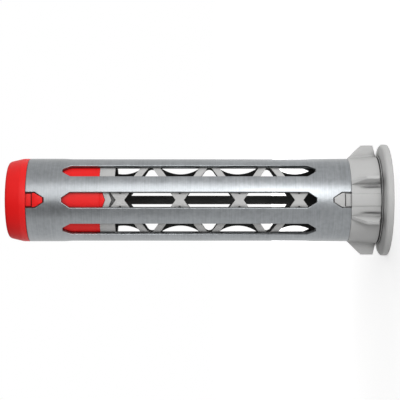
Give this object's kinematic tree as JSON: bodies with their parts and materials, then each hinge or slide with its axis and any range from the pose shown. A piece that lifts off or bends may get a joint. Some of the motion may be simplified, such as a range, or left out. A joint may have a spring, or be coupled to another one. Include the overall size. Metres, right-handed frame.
{
  "type": "metal hollow wall anchor sleeve",
  "caption": "Windowed metal anchor sleeve with a flanged finned collar, an inner lattice cage and a closed tip cap, for fixing a threaded rod in a hollow wall.",
  "frame": {"origin": "centre of the flange's outer face, on which the anchor stands", "axes": "+Z along the sleeve's axis from the flange to the tip, -Y towards the front latches"},
  "size_m": [0.0242, 0.0242, 0.0821],
  "materials": {
    "zinc_steel": "satin zinc plate",
    "grey_plastic": "satin",
    "red_plastic": "satin"
  },
  "bodies": {
    "root": {"metal_sleeve": "zinc_steel", "collar": "grey_plastic", "inner_cage": "grey_plastic", "tip_cap": "red_plastic"}
  },
  "joints": []
}
